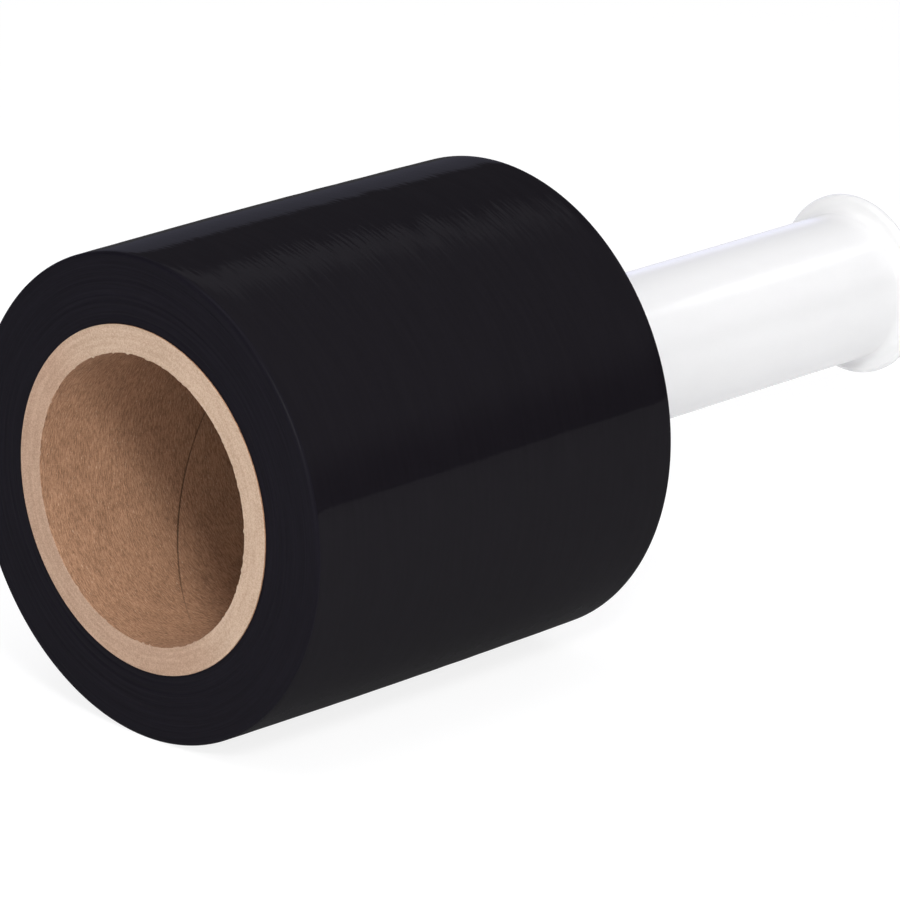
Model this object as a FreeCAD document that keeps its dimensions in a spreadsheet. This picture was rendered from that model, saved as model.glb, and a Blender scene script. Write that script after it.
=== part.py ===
"""A roll of stretch film on a paper core, with a moulded handle plugged into one end of the core.

The roll lies on its side, as in use on a packing bench. Its axis is level and parallel to +Y, the open end of
the core faces -Y and the handle points to +Y. The origin is on the floor, under the middle of the film, at the
centre of the flat that the soft winding takes where it lies. +Z is up, and sizes are in millimetres.

Each piece is drawn in a frame of its own: the sketch's x is the distance from the roll's axis, and its y is the
distance along the axis from the open end of the core.
"""

import FreeCAD, Part
import os
import Sketcher

# Driving sizes, in millimetres, apart from ring_count, which counts rings.
SIZES = {
    # the film
    "film_width": 127.0,        # a 5 inch film
    "film_diameter": 128.5,     # over the middle of the winding
    "film_crown": 0.4,          # how much the radius drops from the middle of the width to each end
    "film_rim_round": 1.0,      # the soft edge between the outside and an end face
    "film_flat_depth": 0.5,     # how far the underside is pressed flat by the roll's own weight
    "ring_count": 8,            # winding rings that show on each end face
    "ring_width": 0.9,
    "ring_depth": 0.25,
    # the paper core
    "core_bore": 76.2,          # a 3 inch core
    "core_wall": 7.3,
    "core_overhang": 0.5,       # how far the core stands out of the film at each end
    # the handle's hub and collar
    "hub_clearance": 0.3,       # on the radius, between the hub and the bore
    "hub_depth": 50.0,          # how far the hub reaches into the core
    "hub_wall": 2.5,
    "hub_lead": 1.0,            # the chamfer that guides the hub into the bore
    "collar_inset": 1.4,        # how far the collar's rim lies inside the core's outer edge
    "collar_thickness": 3.0,
    "collar_gap": 0.3,          # between the collar and the core's end
    "collar_round": 0.8,
    # the handle's grip and end flange
    "grip_diameter": 41.5,
    "grip_wall": 2.5,
    "grip_reach": 142.5,        # from the collar's inner face to the flange's outer face
    "grip_fillet": 3.0,         # where the grip meets the collar and the flange
    "flange_lip": 4.75,         # how far the end flange stands out of the grip
    "flange_thickness": 3.0,
    "flange_round": 1.3,
    "mouth_round": 0.8,         # the inner edge of the grip's open end
}

# Places worked out from the sizes, as expressions on the sheet's cells.
FILM_RADIUS = "Sizes.film_diameter / 2"
FILM_END_RADIUS = f"({FILM_RADIUS} - Sizes.film_crown)"
CORE_INNER = "Sizes.core_bore / 2"
CORE_OUTER = f"({CORE_INNER} + Sizes.core_wall)"
CORE_LENGTH = "(Sizes.film_width + 2 * Sizes.core_overhang)"
FILM_START = "Sizes.core_overhang"
FILM_END = "(Sizes.core_overhang + Sizes.film_width)"
HUB_RADIUS = f"({CORE_INNER} - Sizes.hub_clearance)"
HUB_INNER = f"({HUB_RADIUS} - Sizes.hub_wall)"
HUB_START = f"({CORE_LENGTH} - Sizes.hub_depth)"
COLLAR_RADIUS = f"({CORE_OUTER} - Sizes.collar_inset)"
COLLAR_START = f"({CORE_LENGTH} + Sizes.collar_gap)"
COLLAR_END = f"({COLLAR_START} + Sizes.collar_thickness)"
GRIP_RADIUS = "Sizes.grip_diameter / 2"
GRIP_INNER = f"({GRIP_RADIUS} - Sizes.grip_wall)"
FLANGE_RADIUS = f"({GRIP_RADIUS} + Sizes.flange_lip)"
HANDLE_END = f"({COLLAR_START} + Sizes.grip_reach)"
FLANGE_START = f"({HANDLE_END} - Sizes.flange_thickness)"
AXIS_HEIGHT = f"{FILM_RADIUS} - Sizes.film_flat_depth"

# A round or a chamfer takes at most this share of the wall that it is cut on.
WALL_SHARE = 0.45
# The fillet at the flange's root takes at most this share of the flat that the flange's round leaves.
ROOT_SHARE = 0.95

ORIGIN_POINT = (-1, 1)     # the sketch's own origin, as its constraints name it
NEAR = 1e-3                # how closely an edge has to match the place it is looked for at


def limited(size, wall, share=WALL_SHARE):
    """A round's size, no larger than its share of the wall that carries it, as an expression."""
    return f"min({size}; {share} * {wall})"


def make_sheet(doc):
    """The spreadsheet that holds the driving sizes, one named cell for each."""
    sheet = doc.addObject("Spreadsheet::Sheet", "Sizes")
    for row, (name, value) in enumerate(SIZES.items(), start=1):
        sheet.set(f"A{row}", name)
        sheet.set(f"B{row}", str(value))
        sheet.setAlias(f"B{row}", name)
    doc.recompute()
    return sheet


def make_body(doc, name):
    """An empty body whose axis lies along the roll's, with the core's open end at the body's origin."""
    body = doc.addObject("PartDesign::Body", name)
    body.Label = name
    body.setExpression("Placement.Base.y", f"-{CORE_LENGTH} / 2")
    body.setExpression("Placement.Base.z", AXIS_HEIGHT)
    return body


def make_sketch(body, name, plane):
    """An empty sketch on one of the body's own origin planes."""
    sketch = body.newObject("Sketcher::SketchObject", name)
    support = next(f for f in body.Origin.OriginFeatures if f.Role == plane)
    sketch.AttachmentSupport = (support, [""])
    sketch.MapMode = "FlatFace"
    return sketch


def fix_point(sketch, point, label, x, y):
    """Ties a point of the sketch to two expressions, for its x and its y."""
    for axis, expression in (("X", x), ("Y", y)):
        value = sketch.evalExpression(expression)
        value = getattr(value, "Value", value)
        distance = Sketcher.Constraint(f"Distance{axis}", *ORIGIN_POINT, *point, value)
        number = sketch.addConstraint(distance)
        sketch.renameConstraint(number, f"{label}_{axis.lower()}")
        sketch.setExpression(f"Constraints.{label}_{axis.lower()}", expression)


def place(sketch, x, y):
    """The point that two expressions give, as a vector of the sketch."""
    numbers = [sketch.evalExpression(e) for e in (x, y)]
    return FreeCAD.Vector(*[getattr(n, "Value", n) for n in numbers], 0)


def draw_outline(sketch, label, corners, arc_after=None):
    """A closed outline through the corners, each a pair of expressions.

    The side after the corner numbered arc_after is an arc, through the pair of expressions that goes with it.
    """
    ends = [place(sketch, x, y) for x, y in corners]
    count = len(corners)
    first = sketch.GeometryCount
    for k, (start, end) in enumerate(zip(ends, ends[1:] + ends[:1])):
        if arc_after and k == arc_after[0]:
            sketch.addGeometry(Part.Arc(start, place(sketch, *arc_after[1]), end), False)
        else:
            sketch.addGeometry(Part.LineSegment(start, end), False)
    for k in range(count):
        sketch.addConstraint(Sketcher.Constraint("Coincident", first + k, 2, first + (k + 1) % count, 1))
    for k, (x, y) in enumerate(corners):
        fix_point(sketch, (first + k, 1), f"{label}{k}", x, y)


def revolve(body, sketch, name, kind="PartDesign::Revolution"):
    """A full turn of the sketch about the body's own Y axis."""
    feature = body.newObject(kind, name)
    feature.Profile = sketch
    feature.ReferenceAxis = (sketch, ["V_Axis"])
    feature.Angle = 360
    body.Tip = feature
    return feature


def rings_at(feature, radius, along):
    """The names of the feature's circular edges that have this radius and lie this far along the axis."""
    names = []
    for number, edge in enumerate(feature.Shape.Edges, start=1):
        curve = edge.Curve
        if curve.TypeId != "Part::GeomCircle":
            continue
        if abs(curve.Radius - radius) < NEAR and abs(curve.Center.y - along) < NEAR:
            names.append(f"Edge{number}")
    if not names:
        raise RuntimeError(f"{feature.Name} has no circular edge of radius {radius} at {along}")
    return names


def dress(doc, body, name, kind, places, size):
    """Rounds or chamfers the circular edges at the places, each a radius and a distance along the axis."""
    doc.recompute()
    base = body.Tip
    edges = []
    for radius, along in places:
        at = place(base, radius, along)
        edges += rings_at(base, at.x, at.y)
    feature = body.newObject(kind, name)
    feature.Base = (base, edges)
    feature.setExpression("Radius" if kind == "PartDesign::Fillet" else "Size", size)
    body.Tip = feature
    return feature


def check_cut(doc, body, feature, before):
    """A cut that points away from the solid removes nothing and shows no error, so the volumes are compared."""
    doc.recompute()
    if not feature.Shape.Volume < before - NEAR:
        raise RuntimeError(f"{feature.Name} of {body.Label} cuts nothing")


def make_film_roll(doc):
    """The wound film: a crowned ring with soft rims, winding rings in its ends, and a flat underside."""
    body = make_body(doc, "film_roll")
    profile = make_sketch(body, "film_profile", "XY_Plane")
    middle = f"{CORE_LENGTH} / 2"
    crown_side = 1
    corners = [
        (CORE_OUTER, FILM_START),
        (FILM_END_RADIUS, FILM_START),
        (FILM_END_RADIUS, FILM_END),
        (CORE_OUTER, FILM_END),
    ]
    draw_outline(profile, "corner", corners, (crown_side, (FILM_RADIUS, middle)))
    crown_radius = "((Sizes.film_width / 2) ^ 2 + Sizes.film_crown ^ 2) / (2 * Sizes.film_crown)"
    radius = profile.addConstraint(
        Sketcher.Constraint("Radius", crown_side, place(profile, crown_radius, "0").x)
    )
    profile.renameConstraint(radius, "crown_radius")
    profile.setExpression("Constraints.crown_radius", crown_radius)
    revolve(body, profile, "film_winding")
    rims = [(FILM_END_RADIUS, FILM_START), (FILM_END_RADIUS, FILM_END)]
    dress(doc, body, "film_rims", "PartDesign::Fillet", rims, "Sizes.film_rim_round")
    cut_rings(doc, body)
    cut_flat(doc, body)
    return body


def cut_rings(doc, body):
    """Shallow V grooves on both end faces, from the core to the rim, where the turns stand unevenly."""
    doc.recompute()
    before = body.Tip.Shape.Volume
    sketch = make_sketch(body, "ring_profile", "XY_Plane")
    count = int(doc.Sizes.ring_count)
    pitch = f"(({FILM_END_RADIUS} - Sizes.film_rim_round - {CORE_OUTER}) / (Sizes.ring_count + 1))"
    for end, face, inward in (("open", FILM_START, "+"), ("far", FILM_END, "-")):
        for k in range(1, count + 1):
            middle = f"({CORE_OUTER} + {k} * {pitch})"
            groove = [
                (f"{middle} - Sizes.ring_width / 2", face),
                (f"{middle} + Sizes.ring_width / 2", face),
                (middle, f"{face} {inward} Sizes.ring_depth"),
            ]
            draw_outline(sketch, f"{end}{k}_", groove)
    rings = revolve(body, sketch, "winding_rings", "PartDesign::Groove")
    check_cut(doc, body, rings, before)


def cut_flat(doc, body):
    """The flat on the underside, as deep in the middle of the width as the sheet says."""
    doc.recompute()
    before = body.Tip.Shape.Volume
    sketch = make_sketch(body, "flat_profile", "XZ_Plane")
    top = f"Sizes.film_flat_depth - {FILM_RADIUS}"
    below = "-Sizes.film_diameter"
    corners = [(below, top), (below, below), (FILM_RADIUS, below), (FILM_RADIUS, top)]
    draw_outline(sketch, "flat", corners)
    flat = body.newObject("PartDesign::Pocket", "resting_flat")
    flat.Profile = sketch
    flat.Type = "ThroughAll"
    flat.Midplane = True
    body.Tip = flat
    check_cut(doc, body, flat, before)


def make_paper_core(doc):
    """The paperboard tube, cut square at both ends."""
    body = make_body(doc, "paper_core")
    profile = make_sketch(body, "core_profile", "XY_Plane")
    corners = [
        (CORE_INNER, "0"),
        (CORE_OUTER, "0"),
        (CORE_OUTER, CORE_LENGTH),
        (CORE_INNER, CORE_LENGTH),
    ]
    draw_outline(profile, "corner", corners)
    revolve(body, profile, "core_tube")
    return body


def make_handle(doc):
    """The one-piece handle: hub, collar, hollow grip and end flange, in one turned outline."""
    body = make_body(doc, "handle")
    profile = make_sketch(body, "handle_profile", "XY_Plane")
    corners = [
        (HUB_INNER, HUB_START),
        (HUB_RADIUS, HUB_START),
        (HUB_RADIUS, COLLAR_START),
        (COLLAR_RADIUS, COLLAR_START),
        (COLLAR_RADIUS, COLLAR_END),
        (GRIP_RADIUS, COLLAR_END),
        (GRIP_RADIUS, FLANGE_START),
        (FLANGE_RADIUS, FLANGE_START),
        (FLANGE_RADIUS, HANDLE_END),
        (GRIP_INNER, HANDLE_END),
        (GRIP_INNER, COLLAR_START),
        (HUB_INNER, COLLAR_START),
    ]
    draw_outline(profile, "corner", corners)
    revolve(body, profile, "handle_moulding")
    fillet = "PartDesign::Fillet"
    roots = [(GRIP_RADIUS, COLLAR_END), (GRIP_RADIUS, FLANGE_START)]
    root_size = limited("Sizes.grip_fillet", "(Sizes.flange_lip - Sizes.flange_round)", ROOT_SHARE)
    dress(doc, body, "grip_roots", fillet, roots, root_size)
    flange_rims = [(FLANGE_RADIUS, FLANGE_START), (FLANGE_RADIUS, HANDLE_END)]
    flange_size = limited("Sizes.flange_round", "Sizes.flange_thickness")
    dress(doc, body, "flange_rims", fillet, flange_rims, flange_size)
    collar_rims = [(COLLAR_RADIUS, COLLAR_START), (COLLAR_RADIUS, COLLAR_END)]
    collar_size = limited("Sizes.collar_round", "Sizes.collar_thickness")
    dress(doc, body, "collar_rims", fillet, collar_rims, collar_size)
    mouth = [(GRIP_INNER, HANDLE_END)]
    mouth_size = limited("Sizes.mouth_round", "Sizes.grip_wall")
    dress(doc, body, "grip_mouth", fillet, mouth, mouth_size)
    hub_end = [(HUB_RADIUS, HUB_START)]
    lead_size = limited("Sizes.hub_lead", "Sizes.hub_wall")
    dress(doc, body, "hub_lead_in", "PartDesign::Chamfer", hub_end, lead_size)
    return body


def check_document(doc, bodies):
    """Stops with a message if a feature failed or a piece has no valid single solid."""
    doc.recompute()
    for item in doc.Objects:
        if {"Invalid", "Error"} & set(item.State):
            raise RuntimeError(f"{item.Name} failed: {item.State}")
    for body in bodies:
        shape = body.Shape
        if shape.isNull() or not shape.isValid() or len(shape.Solids) != 1:
            raise RuntimeError(f"{body.Label} isn't one valid solid")


def main():
    """Makes the document, checks it and writes one STEP file for each piece."""
    os.makedirs("parts", exist_ok=True)
    doc = FreeCAD.newDocument("stretch_wrap_roll")
    make_sheet(doc)
    bodies = [make_film_roll(doc), make_paper_core(doc), make_handle(doc)]
    check_document(doc, bodies)
    for body in bodies:
        body.Shape.exportStep(f"parts/{body.Label}.step")
        box = body.Shape.optimalBoundingBox()
        print(f"{body.Label}: {body.Shape.Volume:.1f} mm3, y from {box.YMin:.2f} to {box.YMax:.2f} mm")


main()
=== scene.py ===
"""The looks of a roll of black stretch film on a brown paper core, with a white moulded handle in one end.

The roll lies on its side. Its axis is level and runs along +Y, the core's open end faces -Y and the handle
comes out at the other end. Every piece is one closed surface, worked out with numpy as whole arrays in the
frame of the CAD model, in metres, and it stands for the CAD piece that is in the same place.

In the formulas, angle goes round the roll's axis from +X towards +Z, radius is the distance from the axis,
and depth is the distance from the core's open end towards the handle.
"""

import math

import bpy
import numpy as np
from mathutils import Matrix, Vector


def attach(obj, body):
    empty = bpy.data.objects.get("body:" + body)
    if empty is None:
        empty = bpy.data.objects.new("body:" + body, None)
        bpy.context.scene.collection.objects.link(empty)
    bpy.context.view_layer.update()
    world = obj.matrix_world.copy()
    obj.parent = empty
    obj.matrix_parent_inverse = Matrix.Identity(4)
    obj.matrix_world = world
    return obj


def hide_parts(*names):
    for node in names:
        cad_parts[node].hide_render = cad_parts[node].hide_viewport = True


MM = 0.001

# The CAD model's sizes, in metres.
CORE_INNER = 38.1 * MM
CORE_OUTER = 45.4 * MM
CORE_LENGTH = 128.0 * MM
FILM_RADIUS = 64.25 * MM
FILM_CROWN = 0.4 * MM
FILM_RIM = 1.0 * MM
FILM_START = 0.5 * MM
FILM_END = 127.5 * MM
RING_COUNT = 8
RING_WIDTH = 0.9 * MM
RING_DEPTH = 0.25 * MM
HUB_INNER = 35.3 * MM
HUB_RADIUS = 37.8 * MM
HUB_START = 78.0 * MM
HUB_LEAD = 1.0 * MM
COLLAR_RADIUS = 44.0 * MM
COLLAR_START = 128.3 * MM
COLLAR_END = 131.3 * MM
COLLAR_ROUND = 0.8 * MM
GRIP_INNER = 18.25 * MM
GRIP_RADIUS = 20.75 * MM
GRIP_FILLET = 3.0 * MM
FLANGE_RADIUS = 25.5 * MM
FLANGE_START = 267.8 * MM
FLANGE_ROUND = 1.3 * MM
HANDLE_END = 270.8 * MM
MOUTH_ROUND = 0.8 * MM
FRONT = -CORE_LENGTH / 2
AXIS_HEIGHT = 63.75 * MM

# The seam of the core's inner ply runs round the bore as a helix: it meets the open end at SEAM_ANGLE and goes
# in by SEAM_PITCH in one turn, against the angle.
SEAM_ANGLE = math.radians(-49.2)
SEAM_PITCH = 156.4 * MM
SEAM_HALF_WIDTH = 0.22 * MM
SEAM_DEPTH = 0.3 * MM
SEAM_OPEN = (15.0 * MM, 40.0 * MM)      # the depths between which the seam opens to its full width, and its painted dark grows with it
SEAM_REACH = 1.3 * MM                   # how far rows of points crowd on each side of the seam

PLY = 0.93 * MM            # one ply of the core's wall
CUT_EDGE = 0.18 * MM       # the round of the core's cut edges

COLUMNS = 480              # points round the axis
SHARP_ANGLE = math.radians(50)


# Shapes

def turn(radius, depth, angle):
    """Points of a surface turned about the roll's axis, as a grid of rows of depth and columns of angle.

    x = radius cos(angle), y = FRONT + depth, z = AXIS_HEIGHT + radius sin(angle).
    """
    radius, depth, angle = np.broadcast_arrays(radius, depth, angle)
    return np.stack(
        [radius * np.cos(angle), FRONT + depth, AXIS_HEIGHT + radius * np.sin(angle)], axis=-1
    )


def whole_turn(columns=COLUMNS):
    """Angles evenly round one turn, as a single row."""
    return (np.arange(columns) * (2 * np.pi / columns))[None, :]


def waves(seed, count, angle, depth, turns, length, level):
    """A smooth unevenness that meets itself after one turn.

    The sum of count cosines of (n angle + 2 pi depth / l + phase), where n is a whole number up to turns, l
    is from length to four times that, and the phase is random. The sum is scaled to about level.
    """
    random = np.random.default_rng(seed)
    total = 0.0
    for n, stretch, phase in zip(
        random.integers(0, turns + 1, count), random.uniform(1, 4, count), random.uniform(0, 2 * np.pi, count)
    ):
        total = total + np.cos(n * angle + 2 * np.pi * depth / (length * stretch) + phase)
    return total * level / math.sqrt(count)


def grain(seed, shape):
    """Random numbers of about 1 either way along the last axis, each averaged a little with its two
    neighbours.
    """
    values = np.random.default_rng(seed).normal(size=shape)
    return (np.roll(values, 1, axis=-1) + 3 * values + np.roll(values, -1, axis=-1)) / math.sqrt(11)


def closed_surface(name, points, row_materials, materials):
    """A closed mesh through a grid of points whose rows and columns both run round and meet themselves.

    Face (i, j) joins the points (i, j), (i + 1, j), (i + 1, j + 1) and (i, j + 1), and has the material of
    its row. The faces are turned round where the volume, the sum of a . (b x c) over their triangles, comes
    out negative.
    """
    rows, columns = points.shape[:2]
    i, j = np.meshgrid(np.arange(rows), np.arange(columns), indexing="ij")
    below, beside = (i + 1) % rows, (j + 1) % columns
    corners = [i * columns + j, below * columns + j, below * columns + beside, i * columns + beside]
    corners = np.stack(corners, axis=-1).reshape(-1, 4)
    places = points.reshape(-1, 3)
    a, b, c, d = (places[corners[:, k]] for k in range(4))
    volume = np.sum(a * np.cross(b, c)) + np.sum(a * np.cross(c, d))
    if volume < 0:
        corners = corners[:, ::-1]
    mesh = bpy.data.meshes.new(name)
    mesh.from_pydata(places, [], corners)
    mesh.polygons.foreach_set("use_smooth", np.ones(len(corners), bool))
    mesh.polygons.foreach_set("material_index", np.repeat(row_materials, columns).astype(np.int32))
    mesh.set_sharp_from_angle(angle=SHARP_ANGLE)
    mesh.update()
    for material in materials:
        mesh.materials.append(material)
    piece = bpy.data.objects.new(name, mesh)
    bpy.context.scene.collection.objects.link(piece)
    return piece


def quarter(radius, depth, size, start, end, count=6):
    """Points of an arc of that size about (radius, depth), from one angle to another, ends left out.

    The angles are in degrees from the direction of growing radius towards growing depth.
    """
    t = np.radians(np.linspace(start, end, count + 2)[1:-1])[:, None]
    return radius + size * np.cos(t), depth + size * np.sin(t)


def ring_relief(radius, angle, seed):
    """How far a wound end face stands back from its plane, where the turns of film lie unevenly.

    RING_COUNT soft grooves, each RING_DEPTH (1 - |radius - middle| / (RING_WIDTH / 2)) deep within its
    width, whose middles wander by a tenth of a millimetre as the angle goes round, and finer ridges that
    depend on the radius.
    """
    random = np.random.default_rng(seed)
    pitch = (FILM_RADIUS - FILM_CROWN - FILM_RIM - CORE_OUTER) / (RING_COUNT + 1)
    relief = np.zeros(np.broadcast_shapes(radius.shape, angle.shape))
    for k in range(1, RING_COUNT + 1):
        wander = 0.12 * MM * np.cos(angle * random.integers(1, 4) + random.uniform(0, 2 * np.pi))
        middle = CORE_OUTER + k * pitch + wander + random.uniform(-0.35, 0.35) * pitch
        share = np.clip(1 - np.abs(radius - middle) / (RING_WIDTH * random.uniform(0.5, 0.9)), 0, 1)
        fade = 0.6 + 0.4 * np.cos(angle * random.integers(1, 3) + random.uniform(0, 2 * np.pi))
        relief += RING_DEPTH * random.uniform(0.35, 0.8) * fade * share ** 2 * (3 - 2 * share)
    fine = sum(
        np.cos(2 * np.pi * radius / (length * MM) + phase)
        for length, phase in zip(random.uniform(0.7, 2.2, 6), random.uniform(0, 2 * np.pi, 6))
    )
    return relief + 0.012 * MM * fine


def make_film(outside, ends):
    """The wound film: a closed ring round the core, with the outline of half a crowned barrel.

    Outside, the radius is FILM_RADIUS - FILM_CROWN s^2, where s goes from -1 to 1 over the width, plus bands
    where the film is a few hundredths of a millimetre thicker. The end faces stand at FILM_START and
    FILM_END less the ring relief, the rims are quarter circles of FILM_RIM, and nothing lies below the
    floor: z is at least 0.
    """
    angle = whole_turn()
    rim_radius = FILM_RADIUS - FILM_CROWN - FILM_RIM
    face = np.linspace(CORE_OUTER, rim_radius, 62)[:, None]
    width = np.linspace(FILM_START + FILM_RIM, FILM_END - FILM_RIM, 48)[:, None]
    half = (FILM_END - FILM_START) / 2
    share = (width - CORE_LENGTH / 2) / half
    bands = waves(11, 7, 0 * angle, width, 0, 9 * MM, 0.02 * MM)
    bands = bands + waves(12, 6, angle, width, 3, 60 * MM, 0.03 * MM)
    ease = np.clip((1 - np.abs(share)) / 0.06, 0, 1)
    front_rim = quarter(rim_radius, FILM_START + FILM_RIM, FILM_RIM, -90, 0)
    back_rim = quarter(rim_radius, FILM_END - FILM_RIM, FILM_RIM, 0, 90)
    calm = np.clip((rim_radius - face) / (1.5 * MM), 0, 1)
    rows = [
        (face, FILM_START + ring_relief(face, angle, 21) * calm),
        front_rim,
        (FILM_RADIUS - FILM_CROWN * share ** 2 + bands * ease, width),
        back_rim,
        (face[::-1], FILM_END - ring_relief(face[::-1], angle, 22) * calm[::-1]),
    ]
    grids = [turn(radius, depth, angle) for radius, depth in rows]
    points = np.concatenate(grids)
    points[..., 2] = np.maximum(points[..., 2], 0)
    kinds = np.concatenate([np.full(len(grid), kind) for grid, kind in zip(grids, (1, 1, 0, 1, 1))])
    return closed_surface("wound_film", points, kinds, [outside, ends])


def seam_depth(angle):
    """Where the seam crosses the bore at each angle, and the same held to the bore's length.

    The depth is (SEAM_ANGLE - angle) SEAM_PITCH / (2 pi), with the angle taken in the turn that ends at
    SEAM_ANGLE. The second array goes back evenly to the open end over the angles at which the seam doesn't
    cross the bore.
    """
    back = np.mod(SEAM_ANGLE - angle, 2 * np.pi)
    depth = back * SEAM_PITCH / (2 * np.pi)
    last = 2 * np.pi * CORE_LENGTH / SEAM_PITCH
    returning = CORE_LENGTH * (2 * np.pi - back) / (2 * np.pi - last)
    return depth, np.where(back < last, depth, returning)


def make_core(cut, liner):
    """The paperboard tube: a closed ring with a square section, its cut edges a little rough.

    The bore's radius is CORE_INNER plus SEAM_DEPTH exp(-(d / SEAM_HALF_WIDTH)^2), where d is the distance
    along the axis to the seam's helix, and its rows of points crowd along the seam, so that the groove is a
    clean line. The blade has torn the inner edges: their round varies at random, and at the open end fibres
    stand up to 0.4 mm into the bore. The seam attribute is the groove's share of its full depth.
    """
    angle = whole_turn()
    edge = CUT_EDGE
    torn = edge * np.clip(0.7 + 0.5 * grain(33, angle.shape) ** 2, 0.4, 2.0)
    burr = 0.3 * MM * np.clip(grain(34, angle.shape) - 0.5, 0, 1.4)
    wall = CORE_INNER + torn + (CORE_OUTER - edge - CORE_INNER - torn) * np.linspace(0, 1, 34)[:, None]
    plies = 0.012 * MM * np.cos(2 * np.pi * wall / PLY) + waves(31, 5, angle, wall, 9, 1.5 * MM, 0.01 * MM)
    depth, middle = seam_depth(angle)
    reach = SEAM_REACH
    middle = np.clip(middle, 3 * edge + reach, CORE_LENGTH - 3 * edge - reach)
    part = np.linspace(0, 1, 36)[:, None]
    inner_rows = np.concatenate([
        torn + (middle - reach - torn) * part[:-1],
        middle + reach * np.linspace(-1, 1, 15)[:, None],
        middle + reach + (CORE_LENGTH - torn - middle - reach) * part[1:],
    ])[::-1]
    groove = SEAM_DEPTH * np.exp(-(((inner_rows - depth) / SEAM_HALF_WIDTH) ** 2))
    groove = groove * np.clip((depth - SEAM_OPEN[0]) / (SEAM_OPEN[1] - SEAM_OPEN[0]), 0.15, 1)
    bore = CORE_INNER + groove + waves(32, 8, angle, inner_rows, 5, 40 * MM, 0.03 * MM)
    outer_rows = np.linspace(edge, CORE_LENGTH - edge, 5)[:, None]
    edges = [
        quarter(CORE_OUTER - edge, edge, edge, -90, 0, 3),
        quarter(CORE_OUTER - edge, CORE_LENGTH - edge, edge, 0, 90, 3),
        quarter(CORE_INNER + torn, CORE_LENGTH - torn, torn, 90, 180, 3),
        quarter(CORE_INNER + torn - burr, torn, torn, 180, 270, 3),
    ]
    rows = [
        (wall, np.maximum(plies + 0.02 * MM, 0)),
        edges[0],
        (CORE_OUTER, outer_rows),
        edges[1],
        (wall[::-1], CORE_LENGTH - np.maximum(plies[::-1] + 0.02 * MM, 0)),
        edges[2],
        (bore, inner_rows),
        edges[3],
    ]
    grids = [turn(radius, depth, angle) for radius, depth in rows]
    kinds = [np.full(len(grid), kind) for grid, kind in zip(grids, (0, 0, 1, 0, 0, 0, 1, 0))]
    piece = closed_surface("spiral_core", np.concatenate(grids), np.concatenate(kinds), [cut, liner])
    shade = [np.zeros(grid.shape[:2]) for grid in grids]
    # the seam attribute marks where the liner draws the joint dark: partly its own dark, partly painted shade in
    # the groove
    shade[6] = groove / SEAM_DEPTH
    seam = piece.data.attributes.new("seam", "FLOAT", "POINT")
    seam.data.foreach_set("value", np.concatenate(shade).ravel().astype(np.float32))
    return piece


def rounded_outline(corners, spacing):
    """A closed outline through the corners, each (radius, depth, size), with an arc of that size at each
    corner.

    An arc of size r in a corner whose sides meet at the angle a starts and ends r / tan(a / 2) from the
    corner. Its centre lies r / sin(a / 2) from the corner, between the sides. Points on a side at least
    spacing long lie evenly, from spacing to less than twice that apart.
    """
    places = np.array([corner[:2] for corner in corners])
    sizes = np.array([corner[2] for corner in corners])
    before = np.roll(places, 1, axis=0) - places
    after = np.roll(places, -1, axis=0) - places
    before /= np.linalg.norm(before, axis=1)[:, None]
    after /= np.linalg.norm(after, axis=1)[:, None]
    half = np.arccos(np.clip(np.sum(before * after, axis=1), -1, 1)) / 2
    reach = sizes / np.tan(half)
    starts, ends = places + before * reach[:, None], places + after * reach[:, None]
    middle = before + after
    centres = places + middle / np.linalg.norm(middle, axis=1)[:, None] * (sizes / np.sin(half))[:, None]
    outline = []
    for k in range(len(corners)):
        if sizes[k] > 0:
            first, last = starts[k] - centres[k], ends[k] - centres[k]
            span = np.pi - 2 * half[k]
            t = np.linspace(0, 1, 9)[:, None]
            arc = (np.sin((1 - t) * span) * first + np.sin(t * span) * last) / np.sin(span)
            outline.append(centres[k] + arc)
        else:
            outline.append(places[k:k + 1])
        side = starts[(k + 1) % len(corners)] - ends[k]
        count = max(int(np.linalg.norm(side) / spacing), 1)
        outline.append(ends[k] + side * (np.arange(1, count) / count)[:, None])
    outline = np.concatenate(outline)
    return outline[:, :1], outline[:, 1:]


def make_handle(plastic):
    """The moulded handle: its section, with a fillet or a round at each corner, turned once about the axis.

    A few hundredths of a millimetre of unevenness along the grip is what shrinkage in the mould leaves.
    """
    corners = [
        (HUB_INNER, HUB_START, 0),
        (HUB_RADIUS - HUB_LEAD, HUB_START, 0),
        (HUB_RADIUS, HUB_START + HUB_LEAD, 0),
        (HUB_RADIUS, COLLAR_START, 0),
        (COLLAR_RADIUS, COLLAR_START, COLLAR_ROUND),
        (COLLAR_RADIUS, COLLAR_END, COLLAR_ROUND),
        (GRIP_RADIUS, COLLAR_END, GRIP_FILLET),
        (GRIP_RADIUS, FLANGE_START, GRIP_FILLET),
        (FLANGE_RADIUS, FLANGE_START, FLANGE_ROUND),
        (FLANGE_RADIUS, HANDLE_END, FLANGE_ROUND),
        (GRIP_INNER, HANDLE_END, MOUTH_ROUND),
        (GRIP_INNER, COLLAR_START, 0),
        (HUB_INNER, COLLAR_START, 0),
    ]
    angle = whole_turn()
    radius, depth = rounded_outline(corners, 4.0 * MM)
    on_grip = (np.abs(radius - GRIP_RADIUS) < 0.01 * MM) & (depth > COLLAR_END)
    sink = waves(41, 6, angle, depth, 2, 35 * MM, 0.02 * MM)
    points = turn(radius + np.where(on_grip, sink, 0), depth, angle)
    return closed_surface("moulded_handle", points, np.zeros(len(points)), [plastic])


# Materials

def colour(code):
    """An sRGB hex colour as linear RGBA."""
    parts = [int(code[k:k + 2], 16) / 255 for k in (1, 3, 5)]
    return (*[c / 12.92 if c <= 0.04045 else ((c + 0.055) / 1.055) ** 2.4 for c in parts], 1.0)


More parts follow.
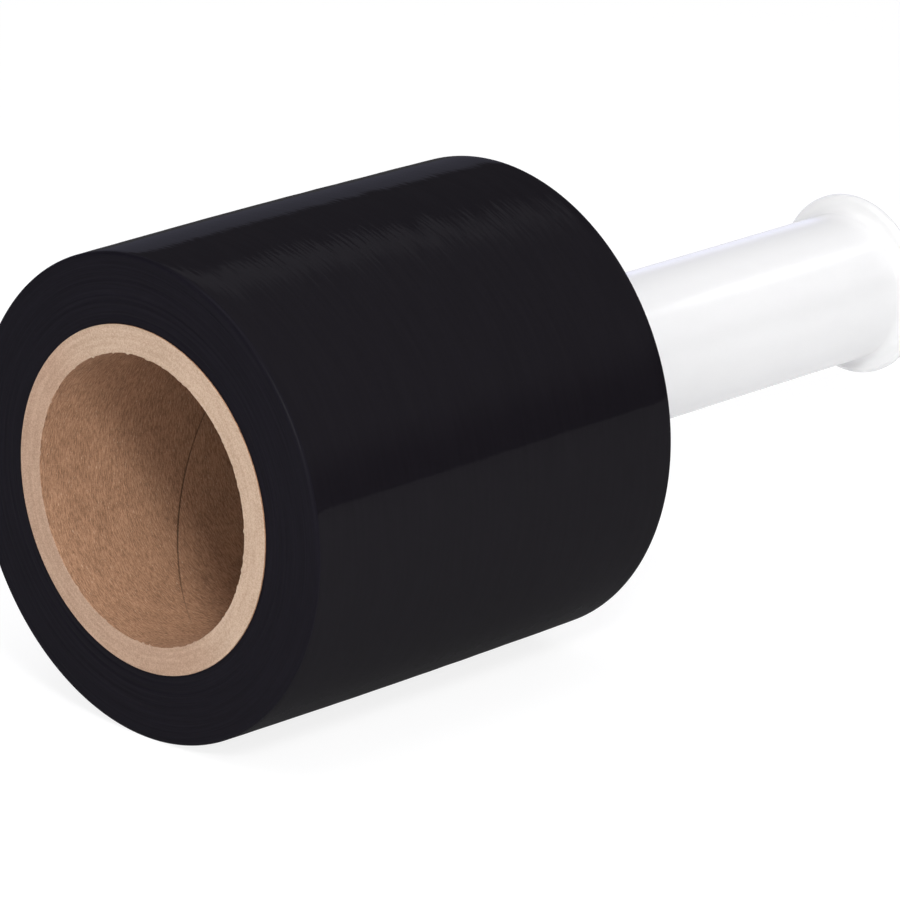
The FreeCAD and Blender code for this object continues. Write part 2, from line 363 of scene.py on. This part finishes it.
def add(tree, kind, inputs=None, **settings):
    """Adds a node with its settings, and gives its inputs, by name or number, a value or another node's
    output.
    """
    node = tree.nodes.new(kind)
    for name, value in settings.items():
        setattr(node, name, value)
    for key, value in (inputs or {}).items():
        if isinstance(value, bpy.types.NodeSocket):
            tree.links.new(value, node.inputs[key])
        else:
            node.inputs[key].default_value = value
    return node


def new_tree(name):
    """An empty material of that name, and its node tree."""
    material = bpy.data.materials.new(name)
    material.use_nodes = True
    material.node_tree.nodes.clear()
    return material, material.node_tree


def centred(tree, scale):
    """Object coordinates measured from the roll's axis, times a scale for each direction, in cells per
    metre.
    """
    place = add(tree, "ShaderNodeTexCoord").outputs["Object"]
    height = (0.0, 0.0, -AXIS_HEIGHT * scale[2])
    return add(tree, "ShaderNodeMapping", {"Vector": place, "Location": height, "Scale": scale}).outputs[0]


def ring_place(tree, across, around):
    """Coordinates in which a pattern follows rings about the axis: radius times across, and direction times
    around.
    """
    flat = centred(tree, (1.0, 0.0, 1.0))
    radius = add(tree, "ShaderNodeVectorMath", {0: flat}, operation="LENGTH").outputs["Value"]
    direction = add(tree, "ShaderNodeVectorMath", {0: flat}, operation="NORMALIZE").outputs[0]
    wide = add(tree, "ShaderNodeVectorMath", {0: direction, "Scale": around}, operation="SCALE").outputs[0]
    step = add(tree, "ShaderNodeMath", {0: radius, 1: across}, operation="MULTIPLY").outputs[0]
    along = add(tree, "ShaderNodeCombineXYZ", {"Y": step}).outputs[0]
    return add(tree, "ShaderNodeVectorMath", {0: wide, 1: along}, operation="ADD").outputs[0]


def film_outside():
    """Stretch film of black polyethylene, wound under tension.

    Many smooth turns on top of each other give a deep black, and the drawn film leaves fine streaks round
    the roll, about 1 mm wide and 2 cm long. A pile of thin clear layers reflects more evenly over the angles
    than one polished surface, which a weak coat with a high index stands for.
    """
    material, tree = new_tree("black_polyethylene_film_wound_smooth")
    streaks = add(tree, "ShaderNodeTexNoise", {
        "Vector": centred(tree, (60.0, 900.0, 60.0)),
        "Scale": 1.0, "Detail": 1.5, "Roughness": 0.5}).outputs[0]
    patches = add(tree, "ShaderNodeTexNoise", {
        "Vector": centred(tree, (18.0, 60.0, 18.0)),
        "Scale": 1.0, "Detail": 2.0, "Roughness": 0.5}).outputs[0]
    share = add(tree, "ShaderNodeMapRange", {"Value": streaks, "From Min": 0.35, "From Max": 0.7}).outputs[0]
    tint = add(tree, "ShaderNodeMix", {0: share, 6: colour("#141216"), 7: colour("#161418")},
               data_type="RGBA").outputs[2]
    height = add(tree, "ShaderNodeMath", {0: patches, 1: 1.6, 2: streaks},
                 operation="MULTIPLY_ADD").outputs[0]
    bump = add(tree, "ShaderNodeBump", {"Height": height, "Strength": 1.0, "Distance": 0.045 * MM}).outputs[0]
    shader = add(tree, "ShaderNodeBsdfPrincipled", {
        "Base Color": tint, "Roughness": 0.5, "IOR": 1.5, "Specular IOR Level": 0.0,
        "Coat Weight": 0.055, "Coat Roughness": 0.04, "Coat IOR": 2.0, "Coat Normal": bump}).outputs[0]
    add(tree, "ShaderNodeOutputMaterial", {"Surface": shader})
    return material


def film_ends():
    """The same film seen on its cut edges, one above the other.

    The edges of thousands of turns give a dull black with fine rings, drawn here about 0.3 mm apart, where
    the real turns are 0.02 mm thick and too fine to show.
    """
    material, tree = new_tree("black_polyethylene_film_slit_edges")
    rings = add(tree, "ShaderNodeTexNoise", {
        "Vector": ring_place(tree, 3600.0, 2.5), "Scale": 1.0, "Detail": 4.0, "Roughness": 0.6}).outputs[0]
    share = add(tree, "ShaderNodeMapRange", {"Value": rings, "From Min": 0.35, "From Max": 0.7}).outputs[0]
    tint = add(tree, "ShaderNodeMix", {0: share, 6: colour("#0f0d13"), 7: colour("#16141b")},
               data_type="RGBA").outputs[2]
    bump = add(tree, "ShaderNodeBump", {"Height": rings, "Strength": 0.5, "Distance": 0.06 * MM}).outputs[0]
    shader = add(tree, "ShaderNodeBsdfPrincipled", {
        "Base Color": tint, "Roughness": 0.6, "IOR": 1.5, "Specular IOR Level": 0.0, "Normal": bump,
        "Coat Weight": 0.12, "Coat Roughness": 0.45, "Coat IOR": 1.5, "Coat Normal": bump}).outputs[0]
    add(tree, "ShaderNodeOutputMaterial", {"Surface": shader})
    return material


def paperboard_cut():
    """Spiral-wound kraft paperboard, cut square with a blade.

    The cut shows a pale matt fawn with the plies, about 0.9 mm thick each, as faint rings, and fine loose
    fibres. Light and shade are painted on it: it is paler on the upper right side, towards the key lamp,
    and painted darker on the lower left side.
    """
    material, tree = new_tree("kraft_paperboard_blade_cut")
    plies = add(tree, "ShaderNodeTexNoise", {
        "Vector": ring_place(tree, 2200.0, 6.0), "Scale": 0.5, "Detail": 3.0, "Roughness": 0.5}).outputs[0]
    fibres = add(tree, "ShaderNodeTexNoise", {
        "Vector": centred(tree, (2600.0, 2600.0, 2600.0)),
        "Scale": 1.0, "Detail": 4.0, "Roughness": 0.75}).outputs[0]
    blend = add(tree, "ShaderNodeMath", {0: fibres, 1: 3.0, 2: plies}, operation="MULTIPLY_ADD").outputs[0]
    share = add(tree, "ShaderNodeMapRange", {"Value": blend, "From Min": 1.6, "From Max": 2.4}).outputs[0]
    pale = add(tree, "ShaderNodeMix", {0: share, 6: colour("#ae937c"), 7: colour("#cab19b")},
               data_type="RGBA").outputs[2]
    # painted shade: a darker copy of the cut's colours for its lower left side, away from the key lamp
    painted_shade_tone = add(tree, "ShaderNodeMix", {0: share, 6: colour("#a3856f"), 7: colour("#c0a28b")},
                 data_type="RGBA").outputs[2]
    # painted light and shade: the cut goes from the darker copy on the lower left to the paler one on the upper
    # right
    across = add(tree, "ShaderNodeVectorMath", {0: centred(tree, (1.0, 1.0, 1.0)), 1: (0.8, 0.0, 0.6)},
                 operation="DOT_PRODUCT").outputs["Value"]
    side = add(tree, "ShaderNodeMapRange", {"Value": across, "From Min": -12 * MM, "From Max": 12 * MM},
               interpolation_type="SMOOTHSTEP").outputs[0]
    tint = add(tree, "ShaderNodeMix", {0: side, 6: painted_shade_tone, 7: pale}, data_type="RGBA").outputs[2]
    bump = add(tree, "ShaderNodeBump", {"Height": blend, "Strength": 0.5, "Distance": 0.12 * MM}).outputs[0]
    shader = add(tree, "ShaderNodeBsdfPrincipled", {
        "Base Color": tint, "Roughness": 0.9, "IOR": 1.45, "Specular IOR Level": 0.2,
        "Normal": bump}).outputs[0]
    add(tree, "ShaderNodeOutputMaterial", {"Surface": shader})
    return material


def paperboard_liner():
    """The inner and outer ply of the core: unbleached kraft paper laid on as a helix.

    It is a matt warm brown, with short fibre streaks along the ply, about 0.3 mm wide and 1.5 mm long, pale
    specks of bare fibre and soft clouds where the pulp is thicker. The streaks keep to the helix because the
    coordinates turn back as the depth grows. The joint between two turns of the ply is an open gap, drawn
    dark: partly the joint's own dark and partly painted shade in its groove.
    """
    material, tree = new_tree("kraft_paper_wound_on_a_helix")
    place = centred(tree, (1.0, 1.0, 1.0))
    depth = add(tree, "ShaderNodeSeparateXYZ", {0: place}).outputs["Y"]
    back = add(tree, "ShaderNodeMath", {0: depth, 1: -2 * math.pi / SEAM_PITCH},
               operation="MULTIPLY").outputs[0]
    turned = add(tree, "ShaderNodeVectorRotate", {"Vector": place, "Angle": back},
                 rotation_type="Y_AXIS").outputs[0]
    long_way = add(tree, "ShaderNodeMapping", {"Vector": turned, "Scale": (650.0, 3500.0, 650.0)}).outputs[0]
    streaks = add(tree, "ShaderNodeTexNoise", {
        "Vector": long_way, "Scale": 1.0, "Detail": 2.0, "Roughness": 0.6}).outputs[0]
    clouds = add(tree, "ShaderNodeTexNoise", {
        "Vector": place, "Scale": 160.0, "Detail": 3.0, "Roughness": 0.6}).outputs[0]
    fibres = add(tree, "ShaderNodeTexNoise", {
        "Vector": place, "Scale": 3300.0, "Detail": 2.0, "Roughness": 0.6}).outputs[0]
    fine = add(tree, "ShaderNodeMath", {0: streaks, 1: 3.5, 2: clouds}, operation="MULTIPLY_ADD").outputs[0]
    blend = add(tree, "ShaderNodeMath", {0: fibres, 1: 1.5, 2: fine}, operation="MULTIPLY_ADD").outputs[0]
    share = add(tree, "ShaderNodeMapRange", {"Value": blend, "From Min": 2.4, "From Max": 3.6}).outputs[0]
    paper = add(tree, "ShaderNodeMix", {0: share, 6: colour("#84624a"), 7: colour("#b88f71")},
                data_type="RGBA").outputs[2]
    spots = add(tree, "ShaderNodeTexNoise", {
        "Vector": long_way, "Scale": 1.6, "Detail": 0.0, "Roughness": 0.5}).outputs[0]
    bare = add(tree, "ShaderNodeMapRange", {"Value": spots, "From Min": 0.76, "From Max": 0.84}).outputs[0]
    flecked = add(tree, "ShaderNodeMix", {0: bare, 6: paper, 7: colour("#d0b296")},
                  data_type="RGBA").outputs[2]
    # painted shade: the seam's dark colour is partly the open joint's own dark and partly painted shade in its
    # groove, which grows deeper into the bore
    joint_dark_and_shade = add(tree, "ShaderNodeAttribute", attribute_name="seam").outputs["Fac"]
    tint = add(tree, "ShaderNodeMix", {0: joint_dark_and_shade, 6: flecked, 7: colour("#3a271b")}, data_type="RGBA").outputs[2]
    bump = add(tree, "ShaderNodeBump", {"Height": blend, "Strength": 0.5, "Distance": 0.05 * MM}).outputs[0]
    shader = add(tree, "ShaderNodeBsdfPrincipled", {
        "Base Color": tint, "Roughness": 0.85, "IOR": 1.45, "Specular IOR Level": 0.25,
        "Normal": bump}).outputs[0]
    add(tree, "ShaderNodeOutputMaterial", {"Surface": shader})
    return material


def moulded_plastic():
    """High-density polyethylene, injection moulded in a polished tool.

    It is a milky white with a soft gloss and a very faint haze, which the slow mottle in its colour stands
    for.
    """
    material, tree = new_tree("white_polyethylene_injection_moulded")
    haze = add(tree, "ShaderNodeTexNoise", {
        "Vector": centred(tree, (60.0, 30.0, 60.0)),
        "Scale": 1.0, "Detail": 3.0, "Roughness": 0.5}).outputs[0]
    grain = add(tree, "ShaderNodeTexNoise", {
        "Vector": centred(tree, (900.0, 900.0, 900.0)),
        "Scale": 1.0, "Detail": 2.0, "Roughness": 0.5}).outputs[0]
    tint = add(tree, "ShaderNodeMix", {0: haze, 6: colour("#e8e8e7"), 7: colour("#efefee")},
               data_type="RGBA").outputs[2]
    bump = add(tree, "ShaderNodeBump", {"Height": grain, "Strength": 0.15, "Distance": 0.02 * MM}).outputs[0]
    shader = add(tree, "ShaderNodeBsdfPrincipled", {
        "Base Color": tint, "Roughness": 0.25, "IOR": 1.52, "Normal": bump}).outputs[0]
    add(tree, "ShaderNodeOutputMaterial", {"Surface": shader})
    return material


FLOOR_WHITE = 1.12                          # the level of the floor's own white
FLOOR_SHARE, FLOOR_GLOSS = 0.75, 0.52       # the share of that white for the eye, and for a gloss


def studio_floor():
    """Matt white paper, which runs into the backdrop.

    What the eye or a clear piece sees of it is mostly its own white, and the rest is lit, so that it keeps
    the roll's soft shadow. A gloss sees more of the shadow.
    """
    material, tree = new_tree("white_paper_floor")
    rays = add(tree, "ShaderNodeLightPath").outputs
    seen = add(tree, "ShaderNodeMath", {0: rays["Is Camera Ray"], 1: rays["Is Transmission Ray"]},
               operation="MAXIMUM").outputs[0]
    whole = add(tree, "ShaderNodeMath", {0: seen, 1: FLOOR_SHARE}, operation="MULTIPLY").outputs[0]
    gloss = add(tree, "ShaderNodeMath", {0: rays["Is Glossy Ray"], 1: FLOOR_GLOSS},
                operation="MULTIPLY").outputs[0]
    share = add(tree, "ShaderNodeMath", {0: whole, 1: gloss}, operation="MAXIMUM").outputs[0]
    lit = add(tree, "ShaderNodeBsdfDiffuse", {"Color": colour("#f7f7f7")}).outputs[0]
    white = add(tree, "ShaderNodeEmission", {"Color": (1.0, 1.0, 1.0, 1.0), "Strength": FLOOR_WHITE}).outputs[0]
    shader = add(tree, "ShaderNodeMixShader", {0: share, 1: lit, 2: white}).outputs[0]
    add(tree, "ShaderNodeOutputMaterial", {"Surface": shader})
    return material


# Studio

# The studio's walls and ceiling. Each pair is where one thing starts and ends its soft step to the next.
GREY, DIM, PALE, ROOM, BACKDROP = 0.6, 0.35, 1.2, 0.32, 1.5     # levels of light, where 1 is white
PANEL_EDGE, PANEL_GLOW = (1.048, 1.062), (0.78, 0.86)           # values of y / z of the direction
PANEL_SLANT, PANEL_SIDE = 2.3, (-2.55, -2.3)                    # values of x / z - PANEL_SLANT y / z
DIM_SIDE = (-0.2, 0.2)                                          # values of x / z
ROOM_SIDE = (-0.1, 0.35)                                        # values of y
SKIRTING = (math.sin(math.radians(4.5)), math.sin(math.radians(22.0)))          # values of z
SKIRTING_LEVEL = 0.15                                           # the share of light at the walls' foot
BACKDROP_TOP = (math.sin(math.radians(13.5)), math.sin(math.radians(17.5)))     # values of z
BACKDROP_WAY, BACKDROP_SIDE = (-0.707, 0.707, 0.0), (0.6, 0.8)  # values of the direction's part along that way

# The camera: its turns, the focal length and the picture's side in pixels, and the place that it sees, in mm.
AZIMUTH, ELEVATION = math.radians(44.97), math.radians(18.22)
FOCAL_PIXELS, PICTURE_PIXELS = 6168, 900
SEEN = (-77.85, -12.79, 1549.33)


def make_floor(side=2.6):
    """A square of floor, just under the roll: x and y from -side / 2 to side / 2, z = 0."""
    x, y = np.meshgrid([-side / 2, side / 2], [-side / 2, side / 2])
    places = np.stack([x.ravel(), y.ravel(), np.full(4, -0.02 * MM)], axis=-1)
    mesh = bpy.data.meshes.new("floor")
    mesh.from_pydata(places, [], [(0, 1, 3, 2)])
    mesh.materials.append(studio_floor())
    floor = bpy.data.objects.new("floor", mesh)
    bpy.context.scene.collection.objects.link(floor)
    return floor


def make_world():
    """The studio round the roll, worked out for the direction in which one looks from it.

    Behind the roll the walls and the ceiling are a soft bluish grey of level GREY, and the walls come up
    from near dark over SKIRTING. A panel in the ceiling reaches back to PANEL_EDGE. Beyond that edge the
    left part, up to DIM_SIDE, is dim, of level DIM. Within the edge the left part of the panel, up to
    PANEL_SIDE, glows at level PALE, and the glow dies away over PANEL_GLOW. The low backdrop at the left is
    white up to BACKDROP_TOP. The room behind the camera is dark, of level ROOM. The camera itself, and a
    clear piece, see plain white.
    """
    world = bpy.data.worlds.new("studio")
    world.use_nodes = True
    tree = world.node_tree
    tree.nodes.clear()
    smooth = {"interpolation_type": "SMOOTHSTEP"}
    direction = add(tree, "ShaderNodeTexCoord").outputs["Generated"]
    parts = add(tree, "ShaderNodeSeparateXYZ", {0: direction}).outputs
    forth, height = parts["Y"], parts["Z"]

    across = add(tree, "ShaderNodeMath", {0: parts["X"], 1: height}, operation="DIVIDE").outputs[0]
    along = add(tree, "ShaderNodeMath", {0: forth, 1: height}, operation="DIVIDE").outputs[0]
    inside = add(tree, "ShaderNodeMapRange", {
        "Value": along, "From Min": PANEL_EDGE[0], "From Max": PANEL_EDGE[1], "To Min": 1.0, "To Max": 0.0},
        **smooth).outputs[0]
    beside = add(tree, "ShaderNodeMapRange", {
        "Value": across, "From Min": DIM_SIDE[0], "From Max": DIM_SIDE[1]}, **smooth).outputs[0]
    plain = add(tree, "ShaderNodeMath", {0: inside, 1: beside}, operation="MAXIMUM").outputs[0]
    glow = add(tree, "ShaderNodeMapRange", {
        "Value": along, "From Min": PANEL_GLOW[0], "From Max": PANEL_GLOW[1]}, **smooth).outputs[0]
    slanted = add(tree, "ShaderNodeMath", {0: along, 1: -PANEL_SLANT, 2: across},
                  operation="MULTIPLY_ADD").outputs[0]
    left = add(tree, "ShaderNodeMapRange", {
        "Value": slanted, "From Min": PANEL_SIDE[0], "From Max": PANEL_SIDE[1], "To Min": 1.0, "To Max": 0.0},
        **smooth).outputs[0]
    glow = add(tree, "ShaderNodeMath", {0: glow, 1: left}, operation="MULTIPLY").outputs[0]
    glow = add(tree, "ShaderNodeMath", {0: glow, 1: inside}, operation="MULTIPLY").outputs[0]
    bright = add(tree, "ShaderNodeMix", {0: glow, 2: GREY, 3: PALE}).outputs[0]
    walls = add(tree, "ShaderNodeMix", {0: plain, 2: DIM, 3: bright}).outputs[0]
    above = add(tree, "ShaderNodeMapRange", {
        "Value": height, "From Min": SKIRTING[0], "From Max": SKIRTING[1], "To Min": SKIRTING_LEVEL},
        **smooth).outputs[0]
    walls = add(tree, "ShaderNodeMath", {0: walls, 1: above}, operation="MULTIPLY").outputs[0]
    behind = add(tree, "ShaderNodeMapRange", {
        "Value": forth, "From Min": ROOM_SIDE[0], "From Max": ROOM_SIDE[1]}, **smooth).outputs[0]
    room = add(tree, "ShaderNodeMix", {0: behind, 2: ROOM, 3: walls}).outputs[0]

    low = add(tree, "ShaderNodeMapRange", {
        "Value": height, "From Min": BACKDROP_TOP[0], "From Max": BACKDROP_TOP[1], "To Min": 1.0, "To Max": 0.0},
        **smooth).outputs[0]
    towards = add(tree, "ShaderNodeVectorMath", {0: direction, 1: BACKDROP_WAY},
                  operation="DOT_PRODUCT").outputs["Value"]
    facing = add(tree, "ShaderNodeMapRange", {
        "Value": towards, "From Min": BACKDROP_SIDE[0], "From Max": BACKDROP_SIDE[1]}, **smooth).outputs[0]
    backdrop = add(tree, "ShaderNodeMath", {0: low, 1: facing}, operation="MULTIPLY").outputs[0]
    paper = add(tree, "ShaderNodeMath", {0: backdrop, 1: BACKDROP}, operation="MULTIPLY").outputs[0]
    shade = add(tree, "ShaderNodeMath", {0: room, 1: paper}, operation="MAXIMUM").outputs[0]
    tint = add(tree, "ShaderNodeMix", {0: backdrop, 6: colour("#f9f8ff"), 7: colour("#e2e4ff")},
               data_type="RGBA").outputs[2]

    sky = add(tree, "ShaderNodeBackground", {"Color": tint, "Strength": shade}).outputs[0]
    white = add(tree, "ShaderNodeBackground", {"Color": (1.0, 1.0, 1.0, 1.0), "Strength": 1.0}).outputs[0]
    rays = add(tree, "ShaderNodeLightPath").outputs
    seen = add(tree, "ShaderNodeMath", {0: rays["Is Camera Ray"], 1: rays["Is Transmission Ray"]},
               operation="MAXIMUM").outputs[0]
    both = add(tree, "ShaderNodeMixShader", {0: seen, 1: sky, 2: white}).outputs[0]
    add(tree, "ShaderNodeOutputWorld", {"Surface": both})
    bpy.context.scene.world = world


def add_softbox(name, direction, distance, size, level, middle=(0.0, 0.04, AXIS_HEIGHT)):
    """A lamp of (width, height) size that faces the middle. It alone shows a white surface there at about
    that level.

    A lamp of power p at distance d gives a white surface that faces it the radiance p / (pi^2 d^2).
    """
    lamp = bpy.data.lights.new(name, "AREA")
    lamp.shape = "RECTANGLE"
    lamp.size, lamp.size_y = size
    lamp.energy = level * math.pi ** 2 * distance ** 2
    box = bpy.data.objects.new(name, lamp)
    towards = Vector(direction).normalized()
    turned = towards.to_track_quat("Z", "Y").to_matrix().to_4x4()
    box.matrix_world = Matrix.Translation(Vector(middle) + towards * distance) @ turned
    bpy.context.scene.collection.objects.link(box)
    return box


def add_camera():
    """The camera of the photograph: where it stands was fitted to the roll's outlines.

    It looks along forward, with right level, from AZIMUTH and ELEVATION. From its own place it sees the
    middle of the core's open face at SEEN, which is measured along right, up and forward.
    """
    sine, cosine = math.sin(AZIMUTH), math.cos(AZIMUTH)
    rise, level = math.sin(ELEVATION), math.cos(ELEVATION)
    right = Vector((cosine, sine, 0))
    up = Vector((-sine * rise, cosine * rise, level))
    forward = Vector((-sine * level, cosine * level, -rise))
    seen = Vector(SEEN) * MM
    place = Vector((0, FRONT, AXIS_HEIGHT)) - (right * seen.x + up * seen.y + forward * seen.z)
    data = bpy.data.cameras.new("camera")
    data.sensor_width = 36.0
    data.lens = FOCAL_PIXELS * data.sensor_width / PICTURE_PIXELS
    data.clip_start = 0.05
    data.clip_end = 100.0
    camera = bpy.data.objects.new("camera", data)
    axes = Matrix((right, up, -forward)).transposed().to_4x4()
    camera.matrix_world = Matrix.Translation(place) @ axes
    bpy.context.scene.collection.objects.link(camera)
    bpy.context.scene.camera = camera


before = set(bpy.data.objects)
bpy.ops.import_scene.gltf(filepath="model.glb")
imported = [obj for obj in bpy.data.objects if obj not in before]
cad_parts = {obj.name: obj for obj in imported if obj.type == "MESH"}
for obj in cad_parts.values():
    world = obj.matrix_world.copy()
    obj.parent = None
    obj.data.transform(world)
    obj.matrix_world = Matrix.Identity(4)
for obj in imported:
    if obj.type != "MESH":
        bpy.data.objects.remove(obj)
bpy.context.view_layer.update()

film = make_film(film_outside(), film_ends())
core = make_core(paperboard_cut(), paperboard_liner())
handle = make_handle(moulded_plastic())
for piece, body, node, slot in (
    (film, "roll", "film_roll", "black_film"),
    (core, "roll", "paper_core", "brown_paperboard"),
    (handle, "handle", "handle", "white_plastic"),
):
    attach(piece, body)
    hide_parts(node)

make_floor()
make_world()
add_softbox("key", (0.65, -0.508, 0.565), 1.1, (0.2, 0.2), 0.52)
add_softbox("front", (0.57, -0.76, 0.31), 1.6, (1.0, 0.5), 0.25)
add_softbox("top", (0.0, -0.25, 1.0), 1.6, (1.2, 1.2), 0.33)
add_softbox("grip", (0.25, 0.67, 0.70), 0.26, (0.03, 0.05), 0.06, (0.012, 0.175, 0.073))
add_camera()
bpy.context.scene.view_settings.view_transform = "Standard"
